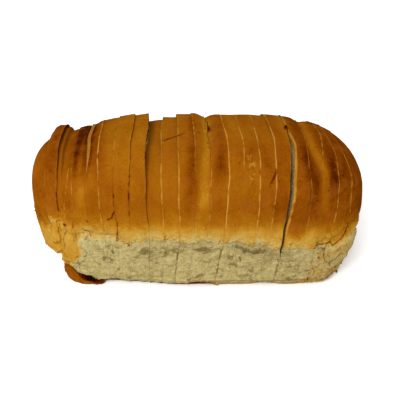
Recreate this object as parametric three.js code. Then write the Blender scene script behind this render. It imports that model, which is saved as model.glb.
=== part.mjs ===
// A sliced tin loaf: two crusty heels and twenty slices, standing in the order they were cut.
// Millimetres. +X runs along the loaf, -Y is its front, +Z is up, and the base lies on z = 0.
import * as THREE from "three";

// The whole loaf.
const HALF_WIDTH = 59; // at the widest level
const WIDE_LEVEL = 62; // height of the widest level in the middle of the loaf
const CROWN_LEVEL = 120; // height of the crown in the middle of the loaf
const PLAN_POWER = 3.1; // squareness of the widest outline seen from above
const ARCH_POWER = 2.55; // squareness of the crown across the loaf

// The straight lower wall, shaped by the tin, and the lip of crust that bulges over it.
const LIP_LEVEL = 43; // height of the lip in the middle of the loaf
const WALL_HALF_FOOT = 50.5; // half the width of the wall at its foot
const WALL_HALF_TOP = 54.5; // half the width of the wall right under the lip
const FOOT_ROUND = { side: 2.5, end: 2, height: 5 }; // the rounded edge of the base

// The ends. length: from the middle to the end at its widest level, which may lie lower by drop.
// archPower: squareness of the crown along the loaf. tinPower: squareness of the wall seen from above.
// The end's wall runs from foot up to top, at the level called lip. Over it the crust leans out: overhang is
// how far it would fall short of the length at the base.
const ENDS = {
  left: {
    length: 130.6, drop: 1, archPower: 4.1, tinPower: 4.6,
    foot: 110.5, top: 113, lip: 19, overhang: 17, curve: 1.6,
  },
  right: {
    length: 132, drop: 7, archPower: 3.15, tinPower: 6,
    foot: 119, top: 129, lip: 45, overhang: 11, curve: 1.5,
  },
};
const LEFT_SAG = { start: -30, slope: 0.13, most: 9 }; // the crown falls away towards the left end

// Soft valleys that cross the crown: place along the loaf, half width and depth.
const CREASES = [
  { x: -85, half: 5, depth: 2.2 },
  { x: 5, half: 6, depth: 3 },
  { x: 91, half: 5, depth: 2.2 },
];

// A torn strip of base crust sticks out of the front foot, under a hollow in the wall.
const FLAP = {
  corner: 107, power: 6, end: -68, fade: 24, reach: 1, thick: 3.2, hollow: 3.5, hollowTop: 9,
};

// The slices.
const SLICE = 11.5; // as the slicer is set, with the saw gap
const SAW_GAP = 0.36; // between two slices that touch
const LEAN_LEVEL = 80; // height at which a slice's thickness is measured
// From the left. extra: thicker (or thinner) than SLICE. forward and rise: how far the piece has moved
// towards the front, and how far its crown stands up. The cut on its right: lean is how far it tips to the
// right for each millimetre up, foot how far its bottom is pushed to the right, gap what stands open there,
// and nextFoot the foot of the next piece's cut where it isn't the same. A piece that hangs has lost what
// was under that height.
const PIECES = [
  { name: "heel_left", extra: 3.3, forward: 0, rise: 2, lean: -0.09, foot: 0, gap: 0, hangs: 25 },
  { name: "slice_02", extra: -0.1, forward: 1, rise: 9.5, lean: -0.01, foot: -3.5, gap: 0, hangs: 23 },
  { name: "slice_03", extra: -1.5, forward: -0.6, rise: 2, lean: -0.04, foot: 0, gap: 0 },
  { name: "slice_04", extra: 0.3, forward: 0.4, rise: 0, lean: -0.06, foot: 0, gap: 0 },
  { name: "slice_05", extra: -1.8, forward: 0.2, rise: 1.8, lean: -0.055, foot: 0, gap: 0 },
  { name: "slice_06", extra: -1.2, forward: 0, rise: 1.2, lean: 0.01, foot: 0, gap: 0 },
  { name: "slice_07", extra: 0.5, forward: 0.5, rise: 2.4, lean: 0.03, foot: 0, gap: 0 },
  { name: "slice_08", extra: 0.8, forward: 0.9, rise: 1, lean: -0.01, foot: -1, gap: 0.3 },
  { name: "slice_09", extra: -0.2, forward: -0.9, rise: -5, lean: -0.005, foot: -3, gap: 0 },
  { name: "slice_10", extra: -0.1, forward: -0.3, rise: -3, lean: -0.02, foot: -5, gap: 0 },
  { name: "slice_11", extra: -0.2, forward: 0.3, rise: -1, lean: 0, foot: -5.3, gap: 0 },
  { name: "slice_12", extra: 0.3, forward: 0, rise: 0, lean: -0.02, foot: -5.3, gap: 0 },
  { name: "slice_13", extra: 0.5, forward: -0.4, rise: -1.4, lean: 0.01, foot: -5.3, gap: 0 },
  { name: "slice_14", extra: -0.7, forward: 0.3, rise: -1.4, lean: 0.05, foot: -4.2, gap: 0 },
  { name: "slice_15", extra: 0.6, forward: 0, rise: -1.2, lean: 0.02, foot: -3, gap: 0 },
  { name: "slice_16", extra: -0.4, forward: 0.3, rise: -1, lean: 0.03, foot: -1.8, gap: 0 },
  { name: "slice_17", extra: -0.4, forward: -0.4, rise: 0.3, lean: 0.06, foot: -0.7, gap: 4.5, nextFoot: -4.6 },
  { name: "slice_18", extra: 0.1, forward: 0.6, rise: 0.6, lean: 0.055, foot: 0, gap: 0 },
  { name: "slice_19", extra: -3.6, forward: 0, rise: 0.3, lean: 0.05, foot: 0, gap: 0 },
  { name: "slice_20", extra: 2.1, forward: -0.5, rise: 0.8, lean: 0.056, foot: 0, gap: 0 },
  { name: "slice_21", extra: -0.2, forward: 0.3, rise: 0.5, lean: -0.005, foot: 0, gap: 0 },
  { name: "heel_right", extra: 6.7, forward: 0, rise: 0, lean: 0, foot: 0, gap: 0 },
];

// The mesh: heights at which a cross-section has points, and where the cross-sections stand in a piece.
const WALL_STEPS = [0, 0.062, 0.075, 0.14, 0.2, 0.36, 0.56, 0.76, 0.91, 1];
const BELLY_STEPS = [0.15, 0.42, 0.72, 1];
const CROWN_STEPS = 12;
const SLICE_STEPS = [0, 1 / 3, 2 / 3, 1];
const HEEL_STEPS = [0, 0.2, 0.4, 0.58, 0.74, 0.87, 0.95, 0.988, 1];

const clamp = THREE.MathUtils.clamp;
const mix = THREE.MathUtils.lerp;
const ease = (value, from, to) => THREE.MathUtils.smoothstep(value, from, to);
const bump = (t) => Math.exp(-t * t);

// Height of a superellipse of half width and height 1 at t along its base.
function arch(t, power) {
  return Math.pow(1 - Math.pow(clamp(Math.abs(t), 0, 1), power), 1 / power);
}

const endAt = (x) => (x < 0 ? ENDS.left : ENDS.right);

// Height of the lip along the loaf: high at the left, low at the right, rising over both ends, and ragged.
function lipLevel(x) {
  const left = 7 * bump((x + 80) / 22);
  const right = 7.5 * bump((x - 76) / 32);
  const ragged = 0.9 * Math.sin(x / 3.7) + 0.7 * Math.sin(x / 6.1 + 1);
  return LIP_LEVEL + left - right + 9 * ease(Math.abs(x), 88, 118) + ragged;
}

// Height of the widest level along the loaf.
const wideLevel = (x) => WIDE_LEVEL - endAt(x).drop * ease(Math.abs(x), 50, 130);

const footRound = (z) => Math.pow(clamp(1 - z / FOOT_ROUND.height, 0, 1), 2);

// Half the loaf's length at a height below the widest level.
function halfLength(x, z) {
  const end = endAt(x);
  const wall = mix(end.foot, end.top, z / end.lip) - FOOT_ROUND.end * footRound(z);
  const crust = end.length - end.overhang * Math.pow(1 - Math.min(z / wideLevel(x), 1), end.curve);
  return mix(wall, crust, ease(z, end.lip - 1, end.lip + 2));
}

// Place along the loaf as a share of the way to its end.
const toEnd = (x) => x / endAt(x).length;

// The lowest level of a cross-section: 0 over the base, and the underside of the overhang past it.
function lowestLevel(x) {
  let low = 0;
  let high = wideLevel(x);
  if (halfLength(x, 0) >= Math.abs(x)) return 0;
  for (let i = 0; i < 40; i++) {
    const z = (low + high) / 2;
    if (halfLength(x, z) < Math.abs(x)) low = z;
    else high = z;
  }
  return high;
}

// Half the width of the middle of the loaf at a height below the widest level.
function wallHalfWidth(z, lip, wide) {
  if (z <= lip) return mix(WALL_HALF_FOOT, WALL_HALF_TOP, z / lip) - FOOT_ROUND.side * footRound(z);
  const t = clamp((z - lip) / (wide - lip), 0, 1);
  return mix(WALL_HALF_TOP, HALF_WIDTH, Math.pow(Math.sin((t * Math.PI) / 2), 0.6));
}

// Half the width of the loaf at any place below the widest level.
function lowerHalfWidth(x, z, lip) {
  const wide = wideLevel(x);
  const squareness = mix(endAt(x).tinPower, PLAN_POWER, ease(z, 0.6 * lip, wide));
  return wallHalfWidth(z, lip, wide) * arch(x / halfLength(x, z), squareness);
}

// Height of the crown over the widest level, before the creases.
function crownHeight(x, rise) {
  const sag = clamp(LEFT_SAG.slope * (LEFT_SAG.start - x), 0, LEFT_SAG.most);
  return (CROWN_LEVEL + rise - sag - wideLevel(x)) * arch(toEnd(x), endAt(x).archPower);
}

// How far a crease draws the crown in, as a share of its height over the widest level.
function creaseDraw(x, share) {
  const depth = CREASES.reduce((sum, c) => sum + c.depth * bump((x - c.x) / c.half), 0);
  return (depth / (CROWN_LEVEL - WIDE_LEVEL)) * ease(share, 0.3, 0.75);
}

// How far the front foot stands out past the wall at half: the flap of base crust, which still has the
// tin's square corner, and the hollow over it.
function flapReach(x, z, half) {
  const share = x < FLAP.end ? ease(FLAP.end - x, 0, FLAP.fade) : 0;
  if (share === 0) return 0;
  const flap = (WALL_HALF_FOOT + FLAP.reach * share) * arch(x / FLAP.corner, FLAP.power);
  if (z <= FLAP.thick) return Math.max(flap - half, 0) * share;
  return z < FLAP.hollowTop * share ? -FLAP.hollow * share : 0;
}

// The loaf's uneven hand-made surface: slow waves along and up it.
function unevenness(x, z) {
  return 0.5 * Math.sin(x / 7.3 + z / 19) + 0.4 * Math.sin(x / 17 - z / 8.5 + 2);
}

// The points of one cross-section, up from its lowest level: front and back depth, and height.
// Levels on the wall follow the lip, so that the lip is a line of the mesh.
function levelsAt(x, piece, cut) {
  const lowest = Math.max(lowestLevel(x), piece.hangs ?? 0);
  const wide = wideLevel(x);
  const lip = Math.max(lipLevel(cut), lowest);
  const fade = arch(toEnd(x), 2);
  const levels = [];
  const push = (half, z, front) => levels.push({ front: -half - front, back: half, z });
  const pushLower = (z) => {
    const half = lowerHalfWidth(x, z, lip);
    const rough = half > 0 && z > 0 ? fade * unevenness(x, z) : 0;
    push(Math.max(half + rough, 0), z, half > 0 ? flapReach(x, z, half + rough) : 0);
  };
  WALL_STEPS.forEach((t) => pushLower(mix(lowest, lip, t)));
  BELLY_STEPS.forEach((t) => pushLower(mix(lip, wide, t)));
  const height = crownHeight(x, piece.rise);
  const width = HALF_WIDTH * arch(toEnd(x), PLAN_POWER) + fade * unevenness(x, wide);
  for (let i = 1; i <= CROWN_STEPS; i++) {
    const angle = ((i / CROWN_STEPS) * Math.PI) / 2;
    const across = i === CROWN_STEPS ? 0 : Math.pow(Math.cos(angle), 2 / ARCH_POWER);
    const up = Math.pow(Math.sin(angle), 2 / ARCH_POWER);
    const drawn = 1 - creaseDraw(x, up);
    push(Math.max(width, 0) * across * drawn, wide + height * up * drawn, 0);
  }
  return levels;
}

// A cut is a plane across the loaf that leans, and bends under the lip. This is its place at a height.
function cutAt(cut, z) {
  const lip = lipLevel(cut.x);
  const bend = z < lip ? (cut.foot * (lip - z)) / lip : 0;
  return cut.x + cut.lean * (z - LEAN_LEVEL) + bend;
}

// One ring of points, at a share of the way from the left cut to the right one. The height of a point
// fixes its place on the leaning cut, which in turn corrects its height.
function ringAt(left, right, share, piece) {
  const middle = mix(left.x, right.x, share);
  const xAt = (z) => mix(cutAt(left, z), cutAt(right, z), share);
  return levelsAt(middle, piece, middle).map((upright, i) => {
    const { front, back, z } = levelsAt(xAt(upright.z), piece, middle)[i];
    return {
      front: new THREE.Vector3(xAt(z), front - piece.forward, z),
      back: new THREE.Vector3(xAt(z), back - piece.forward, z),
    };
  });
}

// A closed solid through the rings: both flanks, the base and the two cut faces.
// Points that fall together, as on the ridge of the crown, are one vertex.
function solidThrough(rings) {
  const vertices = [];
  const index = [];
  const known = new Map();
  const vertex = (p) => {
    const key = [p.x, p.y, p.z].map((v) => Math.round(v * 500)).join();
    if (!known.has(key)) known.set(key, vertices.push(p) - 1);
    return known.get(key);
  };
  const triangle = (a, b, c) => {
    if (a !== b && b !== c && c !== a) index.push(a, b, c);
  };
  const quad = (...corners) => {
    const [a, b, c, d] = corners.map(vertex);
    triangle(a, b, c);
    triangle(a, c, d);
  };
  const last = rings.length - 1;
  const top = rings[0].length - 1;
  for (let i = 0; i < last; i++) {
    const here = rings[i];
    const next = rings[i + 1];
    for (let k = 0; k < top; k++) {
      quad(here[k].front, next[k].front, next[k + 1].front, here[k + 1].front);
      quad(next[k].back, here[k].back, here[k + 1].back, next[k + 1].back);
    }
    quad(here[0].front, here[0].back, next[0].back, next[0].front);
  }
  for (let k = 0; k < top; k++) {
    const [a, b] = [rings[0][k], rings[0][k + 1]];
    const [c, d] = [rings[last][k], rings[last][k + 1]];
    quad(a.front, b.front, b.back, a.back);
    quad(c.back, d.back, d.front, c.front);
  }
  const geometry = new THREE.BufferGeometry().setFromPoints(vertices);
  geometry.setIndex(index);
  geometry.computeVertexNormals();
  return geometry;
}

// The cuts on both sides of every piece. The loaf's own ends stand in for the outer ones.
function cutsOf(pieces) {
  const end = { lean: 0, foot: 0 };
  let x = -ENDS.left.length;
  let left = { ...end, x };
  return pieces.map((piece, i) => {
    const { lean, foot, nextFoot = foot } = piece;
    x += SLICE + piece.extra;
    const isLast = i === pieces.length - 1;
    const right = isLast ? { ...end, x: ENDS.right.length } : { lean, foot, x: x - SAW_GAP / 2 };
    const cuts = { left, right };
    x += piece.gap;
    left = { lean, foot: nextFoot, x: x + SAW_GAP / 2 };
    return cuts;
  });
}

const crust = { color: 0xa15c14, roughness: 0.75, metalness: 0 };
const loaf = new THREE.Group();
const cuts = cutsOf(PIECES);
PIECES.forEach((piece, i) => {
  const { left, right } = cuts[i];
  let steps = SLICE_STEPS;
  if (i === 0) steps = HEEL_STEPS.map((t) => 1 - t).reverse();
  if (i === PIECES.length - 1) steps = HEEL_STEPS;
  const rings = steps.map((share) => ringAt(left, right, share, piece));
  const mesh = new THREE.Mesh(solidThrough(rings), new THREE.MeshStandardMaterial(crust));
  mesh.name = piece.name;
  loaf.add(mesh);
});

export default loaf;
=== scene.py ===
"""A sliced white tin loaf: two crusty heels and twenty slices, standing in the order they were cut.

Every shape is a formula on whole numpy arrays. Lengths are in millimetres until a mesh is made.
+X runs along the loaf, -Y is its front, +Z is up, and the base lies on z = 0.
"""

import itertools
import math
from collections import namedtuple

import bpy
import numpy as np
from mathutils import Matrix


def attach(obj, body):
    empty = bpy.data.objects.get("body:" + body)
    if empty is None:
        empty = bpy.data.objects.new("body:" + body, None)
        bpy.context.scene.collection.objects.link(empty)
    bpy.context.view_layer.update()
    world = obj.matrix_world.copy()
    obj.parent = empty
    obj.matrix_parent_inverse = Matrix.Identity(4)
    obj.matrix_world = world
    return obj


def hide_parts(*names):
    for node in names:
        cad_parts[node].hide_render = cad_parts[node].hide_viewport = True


MM = 0.001  # metres

# --- The loaf, as the solids have it ---

HALF_WIDTH = 59  # at the widest level
WIDE_LEVEL = 62  # height of the widest level in the middle of the loaf
CROWN_LEVEL = 120  # height of the crown in the middle of the loaf
PLAN_POWER = 3.1  # squareness of the widest outline seen from above
ARCH_POWER = 2.55  # squareness of the crown across the loaf

LIP_LEVEL = 43  # height of the lip of crust over the torn wall
WALL_HALF_FOOT = 50.5
WALL_HALF_TOP = 54.5
FOOT_ROUND_SIDE = 2.5
FOOT_ROUND_END = 2
FOOT_ROUND_HEIGHT = 5

# length, drop of the widest level, squareness of the crown along the loaf and of the wall from above;
# the end wall runs from foot to top at the level called lip, and the crust over it leans out by overhang.
End = namedtuple("End", "length drop arch_power tin_power foot top lip overhang curve")
LEFT_END = End(130.6, 1, 4.1, 4.6, 110.5, 113, 19, 17, 1.6)
RIGHT_END = End(132, 7, 3.15, 6, 119, 129, 45, 11, 1.5)
SAG_START = -30
SAG_SLOPE = 0.13
SAG_MOST = 9

# A soft valley across the crown: place, half width and depth, how far it bends sideways near the top and
# from which height, how dark its left and right shoulders are, and how pale it is low down and at the top.
Crease = namedtuple("Crease", "x half depth bend bend_from left_dark right_dark pale pale_top")
CREASES = [
    Crease(-86.5, 4.6, 2.2, 4.5, 78, 0.16, 0.04, 0.12, -0.2),
    Crease(3.3, 5.2, 3, 4.5, 96, 0.12, 0.12, 0.22, 0.14),
    Crease(92.8, 4.2, 2.2, -11, 90, 0.13, 0.1, 0.13, 0.18),
]

# The torn strip of base crust at the front left foot, and the hollow over it.
FLAP_CORNER = 107
FLAP_POWER = 6
FLAP_END = -68
FLAP_FADE = 24
FLAP_REACH = 1
FLAP_HOLLOW = 7

SLICE = 11.5  # as the slicer is set, with the saw gap
SAW_GAP = 0.36
LEAN_LEVEL = 80
SOFT_GAP = 0.03  # what is left of a saw gap between soft slices that lean on each other

# One piece, and the cut on its right. extra: its thickness past SLICE. forward: how far it stands forward.
# rise: how far its crown stands up. hangs: how far it hangs clear of the base, bake: how much browner it is.
# lean: how far the cut leans to the right for each millimetre up. foot: how far it bends to the right
# under the lip. track: how far it strays from its plane at the ridge, the shoulder, the waist and below.
# gap: the room before the next piece, whose own cut may have a next_foot and next_track. rim: how much pale
# cut crust shows along the cut, near the top and on the front of the crown. gape: how far it opens there.
# seam: how far it opens in the torn wall. The measure after seam is painted shade: how dark the face of
# the cut is next to the crust, where the next piece stands lower and leaves that face in shade.
Piece = namedtuple(
    "Piece",
    "name extra forward rise lean foot gap track rim gape seam scorch next_foot next_track hangs bake",
)
PLAIN = Piece("", 0, 0, 0, 0, 0, 0, (0, 0, 0, 0), (0.5, 0.5), (0, 0), 0, 0, None, None, 0, 0)


def portion(name, **differs):
    """A piece that differs from a plain one in the measures given."""
    return PLAIN._replace(name=name, **differs)


PIECES = [
    portion("heel_left", extra=3.3, rise=2, lean=-0.09, hangs=28, track=(3.5, 4.2, 2.6, 1.0),
            rim=(0.35, 0.3), gape=(0, 0), bake=0.1),
    portion("slice_02", extra=-0.1, forward=0.5, rise=9.5, lean=-0.01, foot=-3.5, hangs=27,
            track=(0.5, 0.8, 0.2, 0), rim=(0.2, 0.3), gape=(0.3, 0.12), scorch=0.9, bake=0.06),
    portion("slice_03", extra=-1.5, forward=-0.2, rise=2, lean=-0.04, track=(2.2, 2.8, 1.9, 0.5),
            rim=(0.3, 0.4), gape=(0, 0.05), bake=0.03),
    portion("slice_04", extra=0.3, forward=0.4, lean=-0.06, track=(0.8, 1.8, 0, -0.2), rim=(0.2, 0.2),
            gape=(0.1, 0.1)),
    portion("slice_05", extra=-1.8, forward=0.2, rise=1.8, lean=-0.055, track=(1.2, 1.2, 1, 1),
            rim=(0.7, 0.6), gape=(0, 0.1), bake=0.03),
    portion("slice_06", extra=-1.2, rise=1.2, lean=0.01, track=(0.8, 0.7, 0.6, 3), rim=(0.5, 0.1),
            gape=(0.05, 0.3)),
    portion("slice_07", extra=0.5, forward=0.5, rise=2.4, lean=0.03, track=(0.6, -0.2, 0, 0.5),
            rim=(0.4, 0), gape=(0.25, 0.35)),
    portion("slice_08", extra=0.8, forward=0.9, rise=1, lean=-0.01, foot=-1, gap=0.3,
            track=(1.2, -0.2, -0.2, 1.2), rim=(0, 0.1), gape=(0.4, 0.2), seam=0.25, scorch=1.2),
    portion("slice_09", extra=-0.2, forward=-0.9, rise=-7, lean=-0.005, foot=-3,
            track=(-0.2, -0.2, 0.2, 1.7), rim=(0.8, 0.8), gape=(0.1, 0.1)),
    portion("slice_10", extra=-0.1, forward=-0.3, rise=-4.2, lean=-0.02, foot=-5,
            track=(0.4, 0.4, 0.3, 0.6), rim=(0.6, 0.8), gape=(0.1, 0.05), seam=0.45),
    portion("slice_11", extra=-0.2, forward=0.3, rise=-1, foot=-5.3, track=(0.2, 0.6, 1, 1),
            rim=(0.5, 0.15), gape=(0, 0.1), bake=0.02),
    portion("slice_12", extra=0.3, lean=-0.02, foot=-5.3, track=(-0.9, 0.9, 0.2, -1.8), rim=(0.4, 0.6),
            gape=(0.2, 0.1)),
    portion("slice_13", extra=0.5, forward=-0.4, rise=-1.4, lean=0.01, foot=-5.3,
            track=(-1, 0.8, 0.2, -0.5), rim=(0.9, 1), gape=(0.1, 0.05), seam=0.45, bake=0.04),
    portion("slice_14", extra=-0.7, forward=0.3, rise=-1.4, lean=0.05, foot=-4.2,
            track=(-1.7, -0.3, 0, 0), rim=(0.6, 0.2), gape=(0, 0)),
    portion("slice_15", extra=0.6, rise=-1.2, lean=0.02, foot=-3, track=(-1.1, -0.2, 0.1, 0),
            rim=(0.6, 0.8), gape=(0, 0.1)),
    portion("slice_16", extra=-0.4, forward=0.3, rise=-1, lean=0.03, foot=-1.8, track=(-0.8, 0.2, 0.7, 0),
            rim=(0.9, 0.8), gape=(0.1, 0.1), bake=0.06),
    portion("slice_17", extra=-0.4, forward=-0.4, rise=0.3, lean=0.06, foot=-0.7, gap=4.5, next_foot=-1,
            next_track=(-4.3, -0.5, -0.5, -2.3), rim=(1, 1), gape=(0.1, 0.1), seam=0.4, bake=0.16),
    portion("slice_18", extra=0.1, forward=0.6, rise=0.6, lean=0.055, track=(-2.5, -3.6, -0.2, 0.3),
            rim=(0.6, 0.5), gape=(0.3, 0.3), bake=0.15),
    portion("slice_19", extra=-3.6, rise=0.3, lean=0.05, track=(2.5, 0.6, 1.8, 1.8), rim=(0.5, 0.3),
            gape=(0.1, 0.2), bake=0.13),
    portion("slice_20", extra=2.1, forward=-0.5, rise=0.8, lean=0.056, track=(-5.5, -2.2, 0.2, 0.5),
            rim=(0.6, 0.6), gape=(0.1, 0.2), bake=0.17),
    portion("slice_21", extra=-0.2, forward=0.3, rise=0.5, lean=-0.005, track=(-6.5, -2.6, 0.3, 0.8),
            rim=(0.9, 0.7), gape=(0.1, 0.1), bake=0.2),
    portion("heel_right", extra=6.7, bake=0.21),
]
HEELS = ("heel_left", "heel_right")

# --- The mesh of a piece ---
# Stations run up one side from the foot to the ridge; the sides of the cut faces end
# at SIDE_STEPS, and what is left of the crown is the top edge of the cut faces.

WALL_STEPS = 72
BELLY_STEPS = 32
CROWN_STEPS = 132
SIDE_STEPS = 166
TOP_STEPS = 2 * (WALL_STEPS + BELLY_STEPS + CROWN_STEPS - SIDE_STEPS)
EDGE_RINGS = (0, 0.2, 0.45, 0.8, 1.25, 1.8)  # distances of the first rings from a cut
RING_STEP = 0.62  # between the rings further in
HEEL_RINGS = 80


def ease(value, low, high):
    """Smooth step: 0 up to low, 1 from high, and 3 t squared less 2 t cubed between."""
    t = np.clip((value - low) / (high - low), 0, 1)
    return t * t * (3 - 2 * t)


def mix(a, b, share):
    """The value that lies at a share of the way from a to b."""
    return a + (b - a) * share


def bump(t):
    """A bell: 1 at nought, falling away as e to the minus t squared."""
    return np.exp(-t * t)


def arch(t, power):
    """Height of a superellipse of half width and height 1 at t along its base."""
    return (1 - np.clip(np.abs(t), 0, 1) ** power) ** (1 / power)


def axes_of(points):
    """The x, y and z of points, as three arrays."""
    return points[..., 0], points[..., 1], points[..., 2]


# What corner_values multiplies by: large odd numbers, one for each axis and for each time that it stirs,
# and numbers that set its seeds apart.
AXIS_ODDS = (73856093, 19349663, 83492791)
STIR_ODDS = ((13, 1274126177), (15, 2246822519))
SEED_ODDS = (7919, 101)
HALF_OF_ALL = 2147483648.0  # half of what 32 bits can count


def corner_values(ix, iy, iz, seed):
    """A repeatable random number from -1 to 1 at each whole-number corner of space: the numbers are
    multiplied by large odd ones, combined bit by bit, and stirred."""
    n = np.uint32(seed * SEED_ODDS[0] + SEED_ODDS[1])
    for part, odd in zip((ix, iy, iz), AXIS_ODDS):
        n = n ^ np.asarray(part, np.int64).astype(np.uint32) * np.uint32(odd)
    for shift, odd in STIR_ODDS:
        n = (n ^ (n >> np.uint32(shift))) * np.uint32(odd)
    n = n ^ (n >> np.uint32(16))
    return n / HALF_OF_ALL - 1


TURN, HALF_TURN = 0.31, 0.17  # how far the axes of each octave lean away from those of the last


def cloud(points, size, seed, octaves=2):
    """Soft random waves from about -1 to 1, with waves as long as size (one number, or one for each axis).
    Each octave blends the random corners of a cube of space by smooth weights, and the next is half as
    long and half as strong, with its axes turned."""
    place = points / size
    total = 0
    strength = 1
    for octave in range(octaves):
        cell = np.floor(place)
        t = place - cell
        t = t * t * t * (t * (t * 6 - 15) + 10)
        x, y, z = axes_of(cell)
        tx, ty, tz = axes_of(t)
        value = 0
        for dx, dy, dz in itertools.product((0, 1), repeat=3):
            weight = np.abs(1 - dx - tx) * np.abs(1 - dy - ty) * np.abs(1 - dz - tz)
            value = value + weight * corner_values(x + dx, y + dy, z + dz, seed + octave)
        total = total + strength * value
        strength /= 2
        px, py, pz = axes_of(place)
        place = 2 * np.stack([py - TURN * pz, pz + TURN * px, px + HALF_TURN * py], axis=-1)
    return total


def pores(points, size, seed, share):
    """Round pits: 1 in the middle of a pit, 0 outside. Space is cut into cubes as large as size. A share
    of them hold a centre at a random place, and a pit falls off smoothly round the nearest centre."""
    place = points / size
    cell = np.floor(place)
    deepest = np.zeros(place.shape[:-1])
    for step in itertools.product((-1, 0, 1), repeat=3):
        corner = cell + step
        x, y, z = axes_of(corner)
        centre = [corner_values(x, y, z, seed + axis) * 0.35 + 0.5 for axis in range(3)]
        far = sum((place[..., axis] - corner[..., axis] - centre[axis]) ** 2 for axis in range(3))
        radius = 0.28 + 0.2 * corner_values(x, y, z, seed + 3) ** 2
        there = corner_values(x, y, z, seed + 4) < 2 * share - 1
        deepest = np.maximum(deepest, there * ease(-np.sqrt(far) / radius, -1, -0.35))
    return deepest


def from_end(name, x):
    """The named measure of the end that each place x is nearer to."""
    return np.where(x < 0, getattr(LEFT_END, name), getattr(RIGHT_END, name))


def lip_level(x):
    """Height of the lip along the loaf: high at the left, low at the right, rising over both ends."""
    left = 7 * bump((x + 80) / 22)
    right = 7.5 * bump((x - 76) / 32)
    ragged = 0.9 * np.sin(x / 3.7) + 0.7 * np.sin(x / 6.1 + 1)
    return LIP_LEVEL + left - right + 9 * ease(np.abs(x), 88, 118) + ragged


def wide_level(x):
    """Height of the widest level along the loaf."""
    return WIDE_LEVEL - from_end("drop", x) * ease(np.abs(x), 50, 130)


def foot_round(z):
    """Share of the foot's rounding at a height: a parabola over the lowest few millimetres."""
    return np.clip(1 - z / FOOT_ROUND_HEIGHT, 0, 1) ** 2


def half_length(x, z):
    """Half the loaf's length at a height below the widest level: the end wall, then the crust over it."""
    lip = from_end("lip", x)
    wall = mix(from_end("foot", x), from_end("top", x), z / lip) - FOOT_ROUND_END * foot_round(z)
    under = 1 - np.minimum(z / wide_level(x), 1)
    crust = from_end("length", x) - from_end("overhang", x) * under ** from_end("curve", x)
    return mix(wall, crust, ease(z, lip - 1, lip + 2))


def to_end(x):
    """Place along the loaf as a share of the way to its end."""
    return x / from_end("length", x)


def lowest_level(x):
    """The underside of the overhang at each place x, found by halving; 0 over the base."""
    low = np.zeros_like(x)
    high = wide_level(x)
    for _ in range(30):
        middle = (low + high) / 2
        short = half_length(x, middle) < np.abs(x)
        low = np.where(short, middle, low)
        high = np.where(short, high, middle)
    return np.where(half_length(x, np.zeros_like(x)) >= np.abs(x), 0, high)


def wall_half_width(z, lip, wide):
    """Half the width of the middle of the loaf: a straight wall up to the lip, and a quick swell over it."""
    wall = mix(WALL_HALF_FOOT, WALL_HALF_TOP, z / lip) - FOOT_ROUND_SIDE * foot_round(z)
    t = np.clip((z - lip) / np.maximum(wide - lip, 1e-6), 0, 1)
    return np.where(z <= lip, wall, mix(WALL_HALF_TOP, HALF_WIDTH, np.sin(t * math.pi / 2) ** 0.6))


def lower_half_width(x, z, lip):
    """Half the width at any place below the widest level, drawn in towards the ends."""
    wide = wide_level(x)
    squareness = mix(from_end("tin_power", x), PLAN_POWER, ease(z, 0.6 * lip, wide))
    return wall_half_width(z, lip, wide) * arch(x / np.maximum(half_length(x, z), 1e-6), squareness)


def crown_height(x, rise):
    """Height of the crown over the widest level, before the creases."""
    sag = np.clip(SAG_SLOPE * (SAG_START - x), 0, SAG_MOST)
    return (CROWN_LEVEL + rise - sag - wide_level(x)) * arch(to_end(x), from_end("arch_power", x))


def crease_middle(crease, z):
    """Where a crease's middle runs at a height: straight up, then bending sideways near the top."""
    return crease.x + crease.bend * ease(z, crease.bend_from, crease.bend_from + 28)


def crease_draw(x, up, z):
    """How far the creases draw the crown in, as a share of its height over the widest level."""
    depth = sum(c.depth * bump((x - crease_middle(c, z)) / c.half) for c in CREASES)
    return depth / (CROWN_LEVEL - WIDE_LEVEL) * ease(up, 0.3, 0.75)


def flap_levels(x):
    """Heights of the flap's upper edge and of the top of the hollow over it. Both rise towards the corner
    of the loaf, and the hollow closes at its ends."""
    hollow_top = 3.4 + 0.078 * np.clip(-66.5 - x, 0, 34) ** 1.5
    hollow_top = hollow_top - 3.6 * ease(-x, 82, 93) - 2 * ease(-x, 98, 106)
    return hollow_top - 4.6 * bump((x + 84) / 13), hollow_top


def flap_share(x):
    """How fully the flap is there: nought from its end on, and growing to the left."""
    return ease(FLAP_END - x, 0, FLAP_FADE)


def flap_reach(x, z, half):
    """How far the front foot stands out past the wall: the flap of base crust, and the hollow over it."""
    share = flap_share(x)
    flap_top, hollow_top = flap_levels(x)
    flap = (WALL_HALF_FOOT + FLAP_REACH * share) * arch(x / FLAP_CORNER, FLAP_POWER)
    hollow = -FLAP_HOLLOW * share * (1 - ease(z - hollow_top, -0.8, 0))
    return np.where(z <= flap_top, np.maximum(flap - half, 0) * share, hollow)


def unevenness(x, z):
    """The loaf's slow hand-made waves."""
    return 0.5 * np.sin(x / 7.3 + z / 19) + 0.4 * np.sin(x / 17 - z / 8.5 + 2)


# --- Cuts and sections ---

Cut = namedtuple("Cut", "x lean foot track number")


def cuts_of(pieces):
    """The cuts on the left and right of every piece, in order from the left end."""
    x = -LEFT_END.length
    left = Cut(x, 0, 0, PLAIN.track, 0)
    pairs = []
    for number, piece in enumerate(pieces, start=1):
        x += SLICE + piece.extra
        right = Cut(x - SAW_GAP / 2, piece.lean, piece.foot, piece.track, number)
        if number == len(pieces):
            right = Cut(RIGHT_END.length, 0, 0, PLAIN.track, 0)
        pairs.append((left, right))
        x += piece.gap
        foot = piece.foot if piece.next_foot is None else piece.next_foot
        track = piece.track if piece.next_track is None else piece.next_track
        left = Cut(x + SAW_GAP / 2, piece.lean, foot, track, number)
    return pairs


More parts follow.
